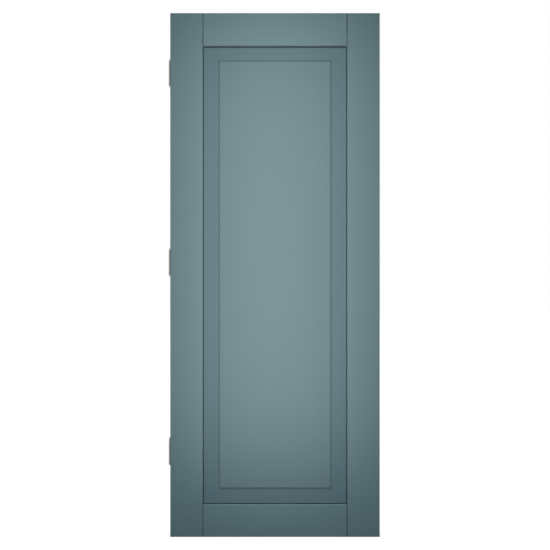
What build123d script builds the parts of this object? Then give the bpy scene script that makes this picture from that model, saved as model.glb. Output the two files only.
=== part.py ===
from build123d import *
import math
import os

# A panelled front door leaf of painted wood, hung on three butt hinges.
# Millimetres. X runs to the right seen from outside, Y from the outside face to the inside face,
# Z up. The origin is the middle of the leaf's bottom edge, half way through its thickness.

# The leaf
DOOR_W = 812.8
DOOR_H = 2032.0
DOOR_T = 44.5
EDGE_ROUND = 0.8  # eased outer edges of both faces

# Stiles and rails
STILE_W = 126.5
TOP_RAIL_H = 127.0
BOTTOM_RAIL_H = 127.0
V_CUT_W = 1.8  # steep cut on both sides of each V joint, and on down the stiles
V_CUT_D = 5.0
RAIL_ARRIS = 3.5  # chamfer of the rails along the panel opening
GROOVE_W = 16.0
GROOVE_D = 14.0
TENON_FIT = 0.1
TENON_END_GAP = 1.0

# Dowels that join rails to stiles
DOWEL_D = 12.7
DOWEL_L = 127.0
DOWEL_EDGE = 24.5  # a tenon's edge to the nearest dowel's axis
DOWEL_FIT = 0.05
DOWEL_END_GAP = 2.0
DOWEL_CHAMFER = 1.5

# Raised and fielded panel, the same on both faces
FIELD_DROP = 5.7  # from the frame's face back to the field
BORDER_DROP = 9.5  # from the frame's face back to the flat border
SIDE_BORDER_W = 55.4
TOP_BORDER_W = 46.7
BOTTOM_BORDER_W = 53.6
BEVEL_W = 8.0
FIELD_CORNER_R = 0.5
BORDER_ROUND = 0.7
SHADOW_GAP = 3.5  # open line between the border and the frame, at the sides and the foot
TOP_GAP = 7.5  # the same along the top, wider because the panel stands in the bottom rail
EXPANSION_GAP = 3.0  # room for the panel to swell, taken up by the spacers
TONGUE_FIT = 0.25

# Soft spacers in the grooves
SPACER_W = 12.0
SPACER_L = 40.0
STILE_SPACERS = 4
RAIL_SPACERS = 2

# Hinges
HINGE_H = 101.6
HINGE_FROM_TOP = 178.0  # leaf's top edge to the top hinge's upper end
HINGE_FROM_BOTTOM = 279.0  # leaf's bottom edge to the bottom hinge's lower end
BACKSET = 6.35  # outside face to the free edge of the hinge plates
PIN_STANDOFF = 12.65  # inside face to the pin's axis
LEAF_GAP = 3.2  # between the two plates when the door is closed
PLATE_T = 3.3
PLATE_CORNER_R = 15.9
GAIN_FIT = 0.15  # round a plate in its pocket
PIN_D = 7.0
PIN_FIT = 0.05
KNUCKLES = 5
FRAME, DOOR = 0, 1  # whose the knuckles are, in turn from the bottom up
KNUCKLE_GAP = 0.3
KNUCKLE_CHAMFER = 0.4
KNUCKLE_SEAM = 0.3  # where the rolled end comes back to the plate
SLOT_CLEAR = 0.4  # between a plate's edge and the other leaf's knuckles
SWAGE_R = 1.5
BEARING_H = 3.0
BEARING_PLAY = 0.1
BEARING_STEP = 0.3  # how far the ring stands in from the knuckles
BEARING_SEAM = 0.5
TIP_H = 4.2
TIP_STEP = 0.4
TIP_ROUND = 2.4
TIP_STEM_L = 6.0
TIP_STEM_FIT = 0.02
PIN_END_GAP = 1.0

# Hinge screws, in a zigzag that is turned end for end from one plate to the other
PLATE_SCREWS = 4
SCREW_L = 32.0
SCREW_D = 4.8
SCREW_HEAD_D = 9.5
SCREW_HEAD_ANGLE = 82.0
SCREW_POINT_L = 6.0
SCREW_FIT = 0.05  # round the head in its countersink and the shank in its pilot hole
SCREW_HOLE_FIT = 0.2  # round the shank in the plate
PILOT_END_GAP = 1.0
BARREL_SCREW_IN = 9.5  # inside face to the screws near the barrel
FREE_SCREW_IN = 13.3  # plate's free edge to the screws near it
END_SCREW_IN = 13.3  # plate's ends to the screws next to them
RECESS_L = 5.0
RECESS_W = 1.1
RECESS_D = 1.8
RECESS_TURN = 37.0  # each screw stops a little further round than the last

# Sizes that follow from those above
OPENING_W = DOOR_W - 2 * STILE_W
OPENING_H = DOOR_H - TOP_RAIL_H - BOTTOM_RAIL_H
PANEL_Z = BOTTOM_RAIL_H + OPENING_H / 2
TENON_T = GROOVE_W - 2 * TENON_FIT
TENON_L = GROOVE_D - TENON_END_GAP
TONGUE_T = GROOVE_W - 2 * TONGUE_FIT
TONGUE_IN = GROOVE_D - EXPANSION_GAP
BORDER_T = DOOR_T - 2 * BORDER_DROP
FIELD_RISE = BORDER_DROP - FIELD_DROP
DOWEL_HOLE_L = DOWEL_L / 2 + DOWEL_END_GAP

PIN_X = -DOOR_W / 2 - LEAF_GAP / 2
PIN_Y = DOOR_T / 2 + PIN_STANDOFF
PLATE_REACH = PIN_STANDOFF + DOOR_T - BACKSET
BORE_R = PIN_D / 2 + PIN_FIT
BARREL_R = BORE_R + PLATE_T
SLOT_EDGE = BARREL_R + SLOT_CLEAR
PLATE_IN = LEAF_GAP / 2
PLATE_OUT = PLATE_IN + PLATE_T
TIP_R = BARREL_R - TIP_STEP
HEAD_SLOPE = math.tan(math.radians(SCREW_HEAD_ANGLE / 2))

UP = (Align.CENTER, Align.CENTER, Align.MIN)


def leaf_block():
    """The finished outline of the leaf, which eases the outer edges of stiles and rails."""
    block = Box(DOOR_W, DOOR_T, DOOR_H, align=UP)
    faces = block.faces().filter_by(Axis.Y)
    return fillet([edge for face in faces for edge in face.edges()], EDGE_ROUND)


def dowel_heights(rail_h):
    """Heights of a rail's dowels above its outer edge, as far in from both edges of its tenons."""
    return [DOWEL_EDGE, rail_h - GROOVE_D - DOWEL_EDGE]


def rod(radius, x_from, x_to, y, z):
    """A round bar along X."""
    return Pos(x_from, y, z) * Rot(0, 90, 0) * Cylinder(radius, x_to - x_from, align=UP)


def stile():
    """A stile with its grooved edge at x = 0 and its width towards +X."""
    face = DOOR_T / 2
    half = [(0, 0), (0, face - V_CUT_D), (V_CUT_W, face), (STILE_W, face), (STILE_W, 0)]
    board = make_face(Polyline(*half, close=True))
    groove = Pos(GROOVE_D / 2, 0) * Rectangle(GROOVE_D, GROOVE_W)
    body = extrude(board + mirror(board, Plane.XZ) - groove, DOOR_H)
    low = dowel_heights(BOTTOM_RAIL_H)
    high = [DOOR_H - z for z in dowel_heights(TOP_RAIL_H)]
    for z in low + high:
        body -= rod(DOWEL_D / 2 + DOWEL_FIT, 0, DOWEL_HOLE_L, 0, z)
    return body


def rail(height):
    """A rail with its outer edge at z = 0, its grooved edge up, and a stub tenon on each end."""
    body = Box(OPENING_W, DOOR_T, height, align=UP)
    body -= Pos(0, 0, height - GROOVE_D) * Box(OPENING_W, GROOVE_W, GROOVE_D, align=UP)
    for outermost in (0, -1):
        face = body.faces().filter_by(Axis.Y).sort_by(Axis.Y)[outermost]
        body = chamfer(face.edges().sort_by(Axis.Z)[1:-1], V_CUT_W, V_CUT_D, reference=face)
        face = body.faces().filter_by(Axis.Y).sort_by(Axis.Y)[outermost]
        body = chamfer(face.edges().sort_by(Axis.Z)[-1], RAIL_ARRIS)
    tenon_h = height - GROOVE_D
    body += Box(OPENING_W + 2 * TENON_L, TENON_T, tenon_h, align=UP)
    for z in dowel_heights(height):
        for x in (OPENING_W / 2 - DOWEL_HOLE_L, -OPENING_W / 2 - TENON_L):
            body -= rod(DOWEL_D / 2 + DOWEL_FIT, x, x + DOWEL_HOLE_L + TENON_L, 0, z)
    return body


def dowels(side, heights):
    """The dowels of one joint, half in the stile and half in the rail."""
    pin = rod(DOWEL_D / 2, -DOWEL_L / 2, DOWEL_L / 2, 0, 0)
    pin = chamfer(pin.edges().filter_by(GeomType.CIRCLE), DOWEL_CHAMFER)
    return [Pos(side * OPENING_W / 2, 0, z) * pin for z in heights]


def raised_panel():
    """One routed board: on both faces a flat field, a bevel and a border, and a tongue round it."""
    tongue = Box(OPENING_W + 2 * TONGUE_IN, TONGUE_T, OPENING_H + 2 * TONGUE_IN)
    border_w = OPENING_W - 2 * SHADOW_GAP
    border_h = OPENING_H - SHADOW_GAP - TOP_GAP
    border = Pos(0, 0, (SHADOW_GAP - TOP_GAP) / 2) * Box(border_w, BORDER_T, border_h)
    faces = border.faces().filter_by(Axis.Y)
    border = fillet([edge for face in faces for edge in face.edges()], BORDER_ROUND)
    above = TOP_GAP + TOP_BORDER_W
    below = SHADOW_GAP + BOTTOM_BORDER_W
    foot = RectangleRounded(
        border_w - 2 * SIDE_BORDER_W, OPENING_H - above - below, BEVEL_W + FIELD_CORNER_R
    )
    slope = math.degrees(math.atan2(BEVEL_W, FIELD_RISE))
    field = extrude(Plane.XZ.offset(BORDER_T / 2) * foot, FIELD_RISE, taper=slope)
    field = Pos(0, 0, (below - above) / 2) * field
    panel = tongue + border + field + mirror(field, Plane.XZ)
    return Pos(0, 0, PANEL_Z) * panel


def evenly(count, length):
    """Places of so many pieces along a length, each in the middle of its share."""
    return [(i + 0.5) * length / count - length / 2 for i in range(count)]


def stile_spacers(side):
    """Spacers that fill the room between the panel's tongue and a stile's groove."""
    pad = Box(EXPANSION_GAP, SPACER_W, SPACER_L)
    x = side * (OPENING_W / 2 + GROOVE_D - EXPANSION_GAP / 2)
    return [Pos(x, 0, PANEL_Z + z) * pad for z in evenly(STILE_SPACERS, OPENING_H)]


def rail_spacers(side):
    """The same in a rail's groove: under the panel, which they carry, or over it."""
    pad = Box(SPACER_L, SPACER_W, EXPANSION_GAP)
    z = PANEL_Z + side * (OPENING_H / 2 + GROOVE_D - EXPANSION_GAP / 2)
    return [Pos(x, 0, z) * pad for x in evenly(RAIL_SPACERS, OPENING_W)]


def knuckle_spans():
    """Lower and upper end of each knuckle, from the bottom up: frame, door, frame, door, frame.
    The ring of a bearing lies under each of the door's knuckles and a plain gap over it."""
    pairs = KNUCKLES // 2
    height = (HINGE_H - pairs * (BEARING_H + BEARING_PLAY + KNUCKLE_GAP)) / KNUCKLES
    spans = []
    z = 0.0
    for i in range(KNUCKLES):
        on_door = i % 2 == DOOR
        z += BEARING_H + BEARING_PLAY if on_door else 0
        spans.append((z, z + height))
        z += height + (KNUCKLE_GAP if on_door else 0)
    return spans


def plate_outline(margin):
    """A hinge plate seen from the side, from its free edge to the slot beside the barrel."""
    depth = PLATE_REACH - SLOT_EDGE + margin
    outline = Pos(-SLOT_EDGE - depth / 2, HINGE_H / 2) * Rectangle(depth, HINGE_H + 2 * margin)
    free_corners = outline.vertices().group_by(Axis.X)[0]
    return Plane.YZ * fillet(free_corners, PLATE_CORNER_R + margin)


def screw_places(side):
    """Where the screws stand in a plate: their distance from the pin, and their height. They take
    turns near the barrel and near the free edge, and none faces a screw of the other plate."""
    near = -PIN_STANDOFF - BARREL_SCREW_IN
    far = -PLATE_REACH + FREE_SCREW_IN
    step = (HINGE_H - 2 * END_SCREW_IN) / (PLATE_SCREWS - 1)
    return [
        (far if i % 2 == side else near, END_SCREW_IN + i * step) for i in range(PLATE_SCREWS)
    ]


def turned(points):
    """A solid turned about X from the half section (distance along X, radius)."""
    return revolve(make_face(Polyline(*points, close=True)), Axis.X)


def knuckle_section():
    """A rolled knuckle and the swaged strip of plate that it is rolled from."""
    strip = Pos((PLATE_IN + PLATE_OUT) / 2, -SLOT_EDGE / 2) * Rectangle(PLATE_T, SLOT_EDGE)
    section = Circle(BARREL_R) + strip
    bend = (PLATE_OUT, -math.sqrt(BARREL_R**2 - PLATE_OUT**2))
    section = fillet(section.vertices().sort_by_distance(bend)[0], SWAGE_R) - Circle(BORE_R)
    return section - Pos(PLATE_IN - KNUCKLE_SEAM / 2, -BARREL_R / 2) * Rectangle(
        KNUCKLE_SEAM, BARREL_R
    )


def knuckle(height):
    """One knuckle with its rims eased."""
    body = extrude(knuckle_section(), height)
    rims = body.edges().filter_by(GeomType.CIRCLE).group_by(SortBy.RADIUS)[-1]
    return chamfer(rims, KNUCKLE_CHAMFER)


def hinge_leaf(side):
    """One half of a hinge, with the pin's axis on Z and the plate to the right of it, towards -Y."""
    body = Pos(PLATE_IN, 0, 0) * extrude(plate_outline(0), PLATE_T)
    for low, high in knuckle_spans()[side::2]:
        body += Pos(0, 0, low) * knuckle(high - low)
    hole_r = SCREW_D / 2 + SCREW_HOLE_FIT
    head_r = SCREW_HEAD_D / 2 + SCREW_FIT
    sink = (head_r - hole_r) / HEAD_SLOPE
    hole = turned([(0, 0), (0, head_r), (sink, hole_r), (PLATE_T, hole_r), (PLATE_T, 0)])
    for y, z in screw_places(side):
        body -= Pos(PLATE_IN, y, z) * hole
    return body


def hinge_screw(turn):
    """A countersunk wood screw along +X with its head at x = 0 and a cross recess."""
    head_r = SCREW_HEAD_D / 2
    shank_r = SCREW_D / 2
    neck = (head_r - shank_r) / HEAD_SLOPE
    body = turned(
        [(0, 0), (0, head_r), (neck, shank_r), (SCREW_L - SCREW_POINT_L, shank_r), (SCREW_L, 0)]
    )
    for angle in (turn, turn + 90):
        body -= Rot(angle, 0, 0) * Box(2 * RECESS_D, RECESS_L, RECESS_W)
    return body


def hinge_screws():
    """The screws of the door's half of a hinge."""
    return [
        Pos(PLATE_IN, y, z) * hinge_screw(i * RECESS_TURN)
        for i, (y, z) in enumerate(screw_places(DOOR))
    ]


def button():
    """The rounded button that ends the barrel, standing on z = 0."""
    body = Cylinder(TIP_R, TIP_H, align=UP)
    return fillet(body.edges().filter_by(GeomType.CIRCLE).sort_by(Axis.Z)[-1], TIP_ROUND)


def hinge_pin():
    """The pin, hung by its button on the top knuckle and ending above the lower tip's stem."""
    end = TIP_STEM_L + PIN_END_GAP
    shaft = Pos(0, 0, end) * Cylinder(PIN_D / 2, HINGE_H - end, align=UP)
    return shaft + Pos(0, 0, HINGE_H) * button()


def hinge_tip():
    """The button pressed into the bottom knuckle."""
    stem = Cylinder(BORE_R - TIP_STEM_FIT, TIP_STEM_L, align=UP)
    return stem + mirror(button(), Plane.XY)


def bearing(index):
    """A bearing ring on the frame's knuckle under one of the door's, with the seam of its races."""
    outer = BARREL_R - BEARING_STEP
    seam = BEARING_SEAM / 2
    middle = BEARING_H / 2
    half = [(0, BORE_R), (0, outer), (middle - seam, outer), (middle, outer - seam)]
    half += [(middle + seam, outer), (BEARING_H, outer), (BEARING_H, BORE_R)]
    ring = Rot(0, -90, 0) * turned(half)
    return Pos(0, 0, knuckle_spans()[2 * index][1]) * ring


def hinge_places():
    """Name and height of each hinge's lower end, the middle one half way between the others."""
    low = HINGE_FROM_BOTTOM
    high = DOOR_H - HINGE_FROM_TOP - HINGE_H
    return {"bottom": low, "middle": (low + high) / 2, "top": high}


def hinge_stile():
    """The left stile, with a pocket for each hinge plate and pilot holes for its screws."""
    body = mirror(Pos(OPENING_W / 2, 0, 0) * stile(), Plane.YZ)
    pocket = Pos(PLATE_IN, 0, 0) * extrude(plate_outline(GAIN_FIT), PLATE_T)
    for height in hinge_places().values():
        body -= Pos(PIN_X, PIN_Y, height) * pocket
        for y, z in screw_places(DOOR):
            mouth = PIN_X + PLATE_IN
            end = mouth + SCREW_L + PILOT_END_GAP
            body -= rod(SCREW_D / 2 + SCREW_FIT, mouth, end, PIN_Y + y, height + z)
    return body


def door_parts():
    """Every piece of the door under its name."""
    block = leaf_block()
    low = dowel_heights(BOTTOM_RAIL_H)
    high = [DOOR_H - z for z in dowel_heights(TOP_RAIL_H)]
    parts = {
        "hinge_stile": hinge_stile() & block,
        "closing_stile": Pos(OPENING_W / 2, 0, 0) * stile() & block,
        "bottom_rail": rail(BOTTOM_RAIL_H) & block,
        "top_rail": Pos(0, 0, DOOR_H) * mirror(rail(TOP_RAIL_H), Plane.XY) & block,
        "raised_panel": raised_panel(),
        "hinge_stile_bottom_dowels": dowels(-1, low),
        "hinge_stile_top_dowels": dowels(-1, high),
        "closing_stile_bottom_dowels": dowels(1, low),
        "closing_stile_top_dowels": dowels(1, high),
        "hinge_stile_spacers": stile_spacers(-1),
        "closing_stile_spacers": stile_spacers(1),
        "bottom_rail_spacers": rail_spacers(-1),
        "top_rail_spacers": rail_spacers(1),
    }
    pieces = {
        "door_leaf": hinge_leaf(DOOR),
        "frame_leaf": mirror(hinge_leaf(FRAME), Plane.YZ),
        "pin": hinge_pin(),
        "tip": hinge_tip(),
        "lower_bearing": bearing(0),
        "upper_bearing": bearing(1),
        "screws": hinge_screws(),
    }
    for place, height in hinge_places().items():
        at = Pos(PIN_X, PIN_Y, height)
        for name, piece in pieces.items():
            moved = [at * one for one in piece] if isinstance(piece, list) else at * piece
            parts[f"{place}_hinge_{name}"] = moved
    return parts


os.makedirs("parts", exist_ok=True)
for name, piece in door_parts().items():
    solid = Compound(piece) if isinstance(piece, list) else piece
    export_step(solid, f"parts/{name}.step")
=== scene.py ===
"""The look of a painted front door leaf on three butt hinges, around its solid model.

Metres, in the model's own frame: X to the right seen from outside, Y from the outside face to the
inside face, Z up. The sections follow the door as it is joined, painted and hung.
"""

import math

import bpy
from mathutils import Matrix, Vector


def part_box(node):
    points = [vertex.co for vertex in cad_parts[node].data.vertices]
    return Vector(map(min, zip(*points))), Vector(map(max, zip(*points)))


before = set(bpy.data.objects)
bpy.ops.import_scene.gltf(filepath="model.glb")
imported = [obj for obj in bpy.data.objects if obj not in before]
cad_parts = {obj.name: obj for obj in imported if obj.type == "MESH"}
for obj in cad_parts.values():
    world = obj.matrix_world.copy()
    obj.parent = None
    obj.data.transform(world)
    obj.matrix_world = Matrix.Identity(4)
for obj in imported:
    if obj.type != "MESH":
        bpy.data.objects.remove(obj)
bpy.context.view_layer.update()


# Stiles and rails
# Four boards of a stable softwood with a V joint between them, sanded, primed and sprayed with a
# satin topcoat. The film is even, with a fine orange peel and the least hint of the grain below it.

PAINT_DARK = (0.192, 0.302, 0.330, 1)
PAINT_LIGHT = (0.200, 0.314, 0.342, 1)
PAINT_ROUGHNESS = 0.45
PAINT_DRIFT = 0.04  # how much the roughness drifts over a board
PAINT_GLOSS = 0.25
CLOUD_SIZE = 0.22  # of the faint clouds in the tone
CLOUD_DETAIL = 2
PEEL_PITCH = 0.0026
PEEL_DETAIL = 1
PEEL_DEPTH = 0.00003
GRAIN_PITCH = 0.0035
GRAIN_LENGTH = 0.3
GRAIN_DETAIL = 3
GRAIN_DEPTH = 0.00003
NOISE_MIDDLE = 0.5


class Socket:
    """An output of a node. Sums on it are written as in Python, and each adds a Math node."""

    def __init__(self, finish, plug):
        self.finish = finish
        self.plug = plug

    def math(self, operation, *values):
        settings = {"operation": operation}
        return self.finish.node("ShaderNodeMath", settings, dict(enumerate(values)))

    def __add__(self, other):
        return self.math("ADD", self, other)

    def __sub__(self, other):
        return self.math("SUBTRACT", self, other)

    def __rsub__(self, other):
        return self.math("SUBTRACT", other, self)

    def __mul__(self, other):
        return self.math("MULTIPLY", self, other)

    __radd__ = __add__
    __rmul__ = __mul__


class Finish:
    """A material, or the light of the room, built from nodes."""

    def __init__(self, name, kind=bpy.data.materials):
        self.owner = kind.new(name)
        self.owner.use_nodes = True
        self.tree = self.owner.node_tree
        self.tree.nodes.clear()

    def node(self, kind, settings, sockets, output=None):
        """Adds a node: first its settings, then the values or links of its sockets."""
        made = self.tree.nodes.new(kind)
        for name, value in settings.items():
            setattr(made, name, value)
        for key, value in sockets.items():
            entry = next(s for i, s in enumerate(made.inputs) if s.enabled and key in (i, s.name))
            if isinstance(value, Socket):
                self.tree.links.new(value.plug, entry)
            else:
                entry.default_value = value
        outputs = [s for s in made.outputs if s.enabled and output in (None, s.name)]
        return Socket(self, outputs[0]) if outputs else None

    def place(self, cell):
        """Where a point lies on the piece, counted in cells of this size along X, Y and Z."""
        point = self.node("ShaderNodeTexCoord", {}, {}, "Object")
        counts = [1 / size for size in cell]
        return self.node(
            "ShaderNodeVectorMath", {"operation": "MULTIPLY"}, {0: point, 1: counts}
        )

    def noise(self, cell, detail):
        """Soft noise about its middle, whose lumps are about as large as the cell."""
        return self.node(
            "ShaderNodeTexNoise", {}, {"Vector": self.place(cell), "Scale": 1, "Detail": detail}
        )

    def blend(self, share, low, high):
        """The colour that is this share of the way from low to high."""
        return self.node(
            "ShaderNodeMix", {"data_type": "RGBA"}, {"Factor": share, "A": low, "B": high}
        )

    def relief(self, height, depth, under=None):
        """Fine relief of this depth, on top of any relief under it."""
        sockets = {"Height": height, "Distance": depth, "Strength": 1}
        if under:
            sockets["Normal"] = under
        return self.node("ShaderNodeBump", {}, sockets)

    def surface(self, **sockets):
        """Ends the material with a surface of these properties."""
        named = {name.replace("_", " "): value for name, value in sockets.items()}
        shader = self.node("ShaderNodeBsdfPrincipled", {}, named)
        self.node("ShaderNodeOutputMaterial", {}, {"Surface": shader})

    def put_on(self, *pieces):
        """Gives this finish to pieces of the solid model."""
        for piece in pieces:
            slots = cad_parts[piece].data.materials
            slots.clear()
            slots.append(self.owner)


def drifting(value, drift, noise):
    """A value that drifts a little about its middle with the noise."""
    return value + drift * (noise - NOISE_MIDDLE)


def painted_board(name, grain_cell):
    """The topcoat on a board whose grain runs along the cell's longest side."""
    finish = Finish(name)
    cloud = finish.noise([CLOUD_SIZE] * 3, CLOUD_DETAIL)
    grain = finish.relief(finish.noise(grain_cell, GRAIN_DETAIL), GRAIN_DEPTH)
    peel = finish.relief(finish.noise([PEEL_PITCH] * 3, PEEL_DETAIL), PEEL_DEPTH, grain)
    finish.surface(
        Base_Color=finish.blend(cloud, PAINT_DARK, PAINT_LIGHT),
        Roughness=drifting(PAINT_ROUGHNESS, PAINT_DRIFT, cloud),
        Specular_IOR_Level=PAINT_GLOSS,
        Normal=peel,
    )
    return finish


upright = painted_board("stile paint", [GRAIN_PITCH, GRAIN_PITCH, GRAIN_LENGTH])
upright.put_on("hinge_stile", "closing_stile")
crosswise = painted_board("rail paint", [GRAIN_LENGTH, GRAIN_PITCH, GRAIN_PITCH])
crosswise.put_on("top_rail", "bottom_rail")


# Raised panel
# One board, routed on both faces to a flat field, a bevel and a border that lies deeper than the
# frame. It is sprayed with the same topcoat, which stays more matt where the router has opened the
# board. The routed border and bevel are also painted a shade darker, as painted shade of the
# recess, and the floor of the shadow gap is painted dark, as painted shade in the gap.

FIELD_DARK = (0.170, 0.268, 0.291, 1)
FIELD_LIGHT = (0.177, 0.278, 0.301, 1)
FIELD_ROUGHNESS = 0.48
FIELD_EDGE = 0.0003  # how far below the field its routed edge starts
# Painted shade: the routed border and bevel, which lie deeper than the frame, are toned darker.
ROUTED_SHADE_DARK = (0.146, 0.240, 0.272, 1)
ROUTED_SHADE_LIGHT = (0.152, 0.250, 0.282, 1)
ROUTED_ROUGHNESS = 0.6
# Painted shade: a dark colour on the floor of the shadow gap, where shade falls.
GAP_SHADE_PAINT = (0.075, 0.125, 0.145, 1)
GAP_FLOOR = 0.0085  # from the board's middle, all that is as deep as the shadow gap's floor

panel_paint = Finish("panel paint")
panel_cloud = panel_paint.noise([CLOUD_SIZE] * 3, CLOUD_DETAIL)
panel_point = panel_paint.node("ShaderNodeTexCoord", {}, {}, "Object")
across = panel_paint.node("ShaderNodeSeparateXYZ", {}, {0: panel_point}, "Y")
from_middle = across.math("ABSOLUTE", across)
field_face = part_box("raised_panel")[1].y
# The routed part: more matt for real, and toned darker as painted shade of the recess.
routed_and_shaded = from_middle.math("LESS_THAN", from_middle, field_face - FIELD_EDGE)
# Where the painted shade of the gap goes.
gap_shade_mask = from_middle.math("LESS_THAN", from_middle, GAP_FLOOR)
open_paint = panel_paint.blend(
    routed_and_shaded,
    panel_paint.blend(panel_cloud, FIELD_DARK, FIELD_LIGHT),
    panel_paint.blend(panel_cloud, ROUTED_SHADE_DARK, ROUTED_SHADE_LIGHT),
)
open_roughness = FIELD_ROUGHNESS + (ROUTED_ROUGHNESS - FIELD_ROUGHNESS) * routed_and_shaded
panel_peel = panel_paint.noise([PEEL_PITCH] * 3, PEEL_DETAIL)
panel_paint.surface(
    Base_Color=panel_paint.blend(gap_shade_mask, open_paint, GAP_SHADE_PAINT),
    Roughness=drifting(open_roughness, PAINT_DRIFT, panel_cloud),
    Specular_IOR_Level=PAINT_GLOSS,
    Normal=panel_paint.relief(panel_peel, PEEL_DEPTH),
)
panel_paint.put_on("raised_panel")


# Dowels
# Beech rods, cut and chamfered, glued into the boards across each joint. The grain runs along them
# and short dark flecks show between it.


def marked_finish(name, mark, detail, deep, pale, roughness, drift, depth, metallic=0):
    """A finish with fine marks of about this size, which change its tone, gloss and relief."""
    finish = Finish(name)
    marks = finish.noise(mark, detail)
    finish.surface(
        Base_Color=finish.blend(marks, deep, pale),
        Metallic=metallic,
        Roughness=drifting(roughness, drift, marks),
        Normal=finish.relief(marks, depth),
    )
    return finish


beech = marked_finish(
    "beech",
    mark=[0.02, 0.0006, 0.0006],
    detail=4,
    deep=(0.44, 0.27, 0.145, 1),
    pale=(0.58, 0.40, 0.24, 1),
    roughness=0.6,
    drift=0.1,
    depth=0.00005,
)
for stile in ("hinge_stile", "closing_stile"):
    beech.put_on(f"{stile}_top_dowels", f"{stile}_bottom_dowels")


# Panel spacers
# Short pieces of black foam rubber, pushed into the grooves before the panel goes in, so that it
# can swell and shrink without rattling.

foam = marked_finish(
    "foam rubber",
    mark=[0.0007, 0.0007, 0.0007],
    detail=3,
    deep=(0.012, 0.012, 0.013, 1),
    pale=(0.032, 0.032, 0.035, 1),
    roughness=0.92,
    drift=0.08,
    depth=0.0003,
)
for board in ("hinge_stile", "closing_stile", "top_rail", "bottom_rail"):
    foam.put_on(f"{board}_spacers")


# Hinges
# Steel plates rolled into knuckles round a pin, brushed along their length and nickel plated. The
# pin hangs by its button, and a second button is pressed into the lowest knuckle.

HINGES = ("top", "middle", "bottom")

nickel = marked_finish(
    "brushed nickel",
    mark=[0.00035, 0.00035, 0.02],
    detail=3,
    deep=(0.51, 0.515, 0.50, 1),
    pale=(0.61, 0.615, 0.60, 1),
    roughness=0.38,
    drift=0.14,
    depth=0.000004,
    metallic=1,
)
for hinge in HINGES:
    nickel.put_on(f"{hinge}_hinge_door_leaf", f"{hinge}_hinge_frame_leaf")
    nickel.put_on(f"{hinge}_hinge_pin", f"{hinge}_hinge_tip")


# Bearings
# Turned steel rings with hardened balls inside, one under each knuckle of the door's leaf. The
# lathe leaves fine rings round them, and they are a little darker than the plated plates.

turned_steel = marked_finish(
    "turned steel",
    mark=[0.01, 0.01, 0.00012],
    detail=1,
    deep=(0.40, 0.40, 0.405, 1),
    pale=(0.52, 0.52, 0.52, 1),
    roughness=0.24,
    drift=0.1,
    depth=0.000003,
    metallic=1,
)
for hinge in HINGES:
    turned_steel.put_on(f"{hinge}_hinge_upper_bearing", f"{hinge}_hinge_lower_bearing")


# Hinge screws
# Countersunk wood screws with a cross recess, cold headed from steel wire and plated to match the
# hinges. The plating is a little uneven over the struck heads.

plated_screw = marked_finish(
    "plated screw",
    mark=[0.0009, 0.0009, 0.0009],
    detail=2,
    deep=(0.46, 0.465, 0.45, 1),
    pale=(0.59, 0.595, 0.58, 1),
    roughness=0.34,
    drift=0.16,
    depth=0.00002,
    metallic=1,
)
for hinge in HINGES:
    plated_screw.put_on(f"{hinge}_hinge_screws")


# Floor and backdrop
# A plain pale floor just under the leaf, which hangs clear of it, in a white studio. To the camera
# the floor glows as white as the room, and its glow darkens softly behind the leaf, away from the
# key light: a painted shadow, from ambient occlusion turned toward the key light's side, not cast
# by the lamps.
# What is polished reflects a bright wall behind the camera, and a greyer room on the other sides.

FLOOR_SIZE = 120
FLOOR_GAP = 0.001
FLOOR_BOUNCE = (0.18, 0.18, 0.18, 1)
OPEN_FLOOR = (1.14, 1.14, 1.14, 1)  # a little over white, so that the shadow's faint rim is white
SHADOW_TONE = (0.5, 0.5, 0.51, 1)
SHADOW_REACH = 0.45
SHADOW_RAYS = 16
TO_KEY_LIGHT = {"X": 0, "Y": -0.9, "Z": 0.44}
REFLECTED_GLOW = 0.6
WHITE = (1, 1, 1, 1)
BLACK = (0, 0, 0, 1)
ROOM_FILL = (0.148, 0.221, 0.268, 1)
ROOM_LOW = (0.16, 0.16, 0.165, 1)
ROOM_HIGH = (0.75, 0.75, 0.74, 1)
WALL_EDGE = 0.8
WALL_FADE = 1.2


def ray(finish, kind):
    """1 for light that ends in the camera or in a reflection, by kind, and 0 for other light."""
    return finish.node("ShaderNodeLightPath", {}, {}, f"Is {kind} Ray")


bpy.ops.mesh.primitive_plane_add(size=FLOOR_SIZE, location=(0, 0, -FLOOR_GAP))
floor = bpy.context.object
floor.name = "floor"
pale = Finish("pale floor")
to_light = pale.node("ShaderNodeCombineXYZ", {}, TO_KEY_LIGHT)
unshaded = pale.node(
    "ShaderNodeAmbientOcclusion",
    {"samples": SHADOW_RAYS},
    {"Distance": SHADOW_REACH, "Normal": to_light},
    "AO",
)
glow = pale.node(
    "ShaderNodeEmission",
    {},
    {
        # Painted shadow: the glow darkens where the leaf blocks the view toward the key light's
        # side.
        "Color": pale.blend(unshaded, SHADOW_TONE, OPEN_FLOOR),
        "Strength": ray(pale, "Camera") + REFLECTED_GLOW * ray(pale, "Glossy"),
    },
)
bounce = pale.blend(ray(pale, "Camera"), FLOOR_BOUNCE, BLACK)
matt = pale.node("ShaderNodeBsdfDiffuse", {}, {"Color": bounce})
both = pale.node("ShaderNodeAddShader", {}, {0: glow, 1: matt})
pale.node("ShaderNodeOutputMaterial", {}, {"Surface": both})
floor.data.materials.append(pale.owner)

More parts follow.
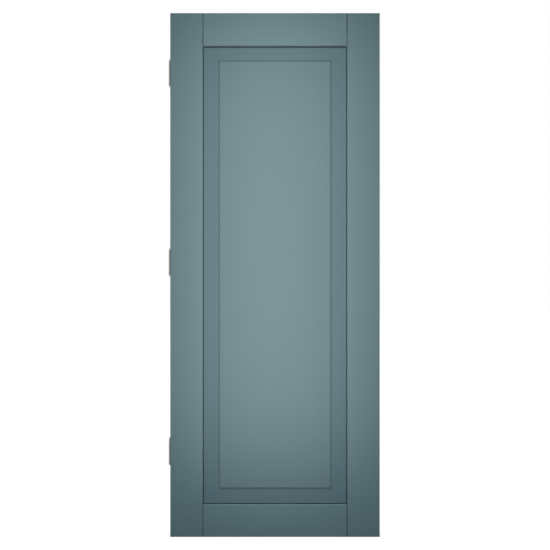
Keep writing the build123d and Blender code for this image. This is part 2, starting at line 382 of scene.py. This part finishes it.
room = Finish("white room", bpy.data.worlds)
direction = room.node("ShaderNodeTexCoord", {}, {}, "Generated")
inward = room.node("ShaderNodeSeparateXYZ", {}, {0: direction}, "Y")
upward = room.node("ShaderNodeSeparateXYZ", {}, {0: direction}, "Z")
around = room.blend(upward, ROOM_LOW, ROOM_HIGH)
reflected = room.blend(WALL_EDGE - WALL_FADE * inward, around, WHITE)
unseen = room.blend(ray(room, "Glossy"), ROOM_FILL, reflected)
tone = room.blend(ray(room, "Camera"), unseen, WHITE)
light = room.node("ShaderNodeBackground", {}, {"Color": tone, "Strength": 1})
room.node("ShaderNodeOutputWorld", {}, {"Surface": light})
bpy.context.scene.world = room.owner


# Lamps
# One tall narrow softbox stands close before the outside face, a little above its middle, so the
# light falls off softly to the edges. One with a grid waits where the leaf swings to, and four wide
# ones light the inside face, the edges and the top.

LAMP_COLOUR = (1.07, 1, 0.938)
HALF_ROUND = 180  # degrees, the spread of a lamp without a grid
KEY_AWAY = 0.453
KEY_LEFT = 0.009
KEY_HEIGHT = 1.152
GRID_LEFT = 0.055
GRID_HEIGHT = 1.04
SIDE_AWAY = 2.4
SIDE_BACK = 1
SIDE_HEIGHT = 1.3
TOP_BACK = 0.4
TOP_HEIGHT = 3.4
LEAF_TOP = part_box("hinge_stile")[1].z
OUTSIDE_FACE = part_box("top_rail")[0].y
INSIDE_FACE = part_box("top_rail")[1].y


def softbox(name, size, place, aim, power, spread=HALF_ROUND):
    """A rectangular soft lamp at a place, turned to a point. The camera doesn't see it."""
    data = bpy.data.lights.new(name, "AREA")
    data.shape = "RECTANGLE"
    data.size, data.size_y = size
    data.energy = power
    data.color = LAMP_COLOUR
    data.spread = math.radians(spread)
    lamp = bpy.data.objects.new(name, data)
    lamp.location = place
    lamp.rotation_euler = (Vector(aim) - Vector(place)).to_track_quat("-Z", "Y").to_euler()
    lamp.visible_camera = False
    bpy.context.scene.collection.objects.link(lamp)


softbox(
    "key softbox",
    size=(0.62, 1.79),
    place=(-KEY_LEFT, OUTSIDE_FACE - KEY_AWAY, KEY_HEIGHT),
    aim=(-KEY_LEFT, OUTSIDE_FACE, KEY_HEIGHT),
    power=5.55,
)
pin_low, pin_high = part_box("top_hinge_pin")
pin_axis = (pin_low + pin_high) / 2
swung_x = 2 * pin_axis.x - GRID_LEFT
swung_face = 2 * pin_axis.y - INSIDE_FACE
softbox(
    "gridded softbox",
    size=(0.68, 2.06),
    place=(swung_x, swung_face - KEY_AWAY, GRID_HEIGHT),
    aim=(swung_x, swung_face, GRID_HEIGHT),
    power=2.2,
    spread=30,
)
middle = (0, 0, LEAF_TOP / 2)
softbox("inside softbox", size=(3.2, 3.2), place=(0.3, 2, 1.3), aim=middle, power=29)
for side, x in (("left", -SIDE_AWAY), ("right", SIDE_AWAY)):
    place = (x, SIDE_BACK, SIDE_HEIGHT)
    softbox(f"{side} softbox", size=(2, 2.6), place=place, aim=middle, power=22)
softbox(
    "top softbox",
    size=(1.6, 0.6),
    place=(0, TOP_BACK, TOP_HEIGHT),
    aim=(0, TOP_BACK, 0),
    power=22,
)


# The photograph's view
# A long lens, square on to the outside face and level with the leaf's middle. It stands as far off
# as it must for the leaf to be as tall in the picture as it is in the photograph.

LENS = 200
SENSOR = 36
PHOTO_PIXELS = 550
LEAF_PIXELS = 523.85

view_height = LEAF_TOP * PHOTO_PIXELS / LEAF_PIXELS
camera_data = bpy.data.cameras.new("camera")
camera_data.lens = LENS
camera_data.sensor_width = SENSOR
camera = bpy.data.objects.new("camera", camera_data)
camera.location = (0, OUTSIDE_FACE - view_height * LENS / SENSOR, LEAF_TOP / 2)
camera.rotation_euler = (math.pi / 2, 0, 0)
bpy.context.scene.collection.objects.link(camera)
bpy.context.scene.camera = camera
bpy.context.scene.view_settings.view_transform = "Standard"
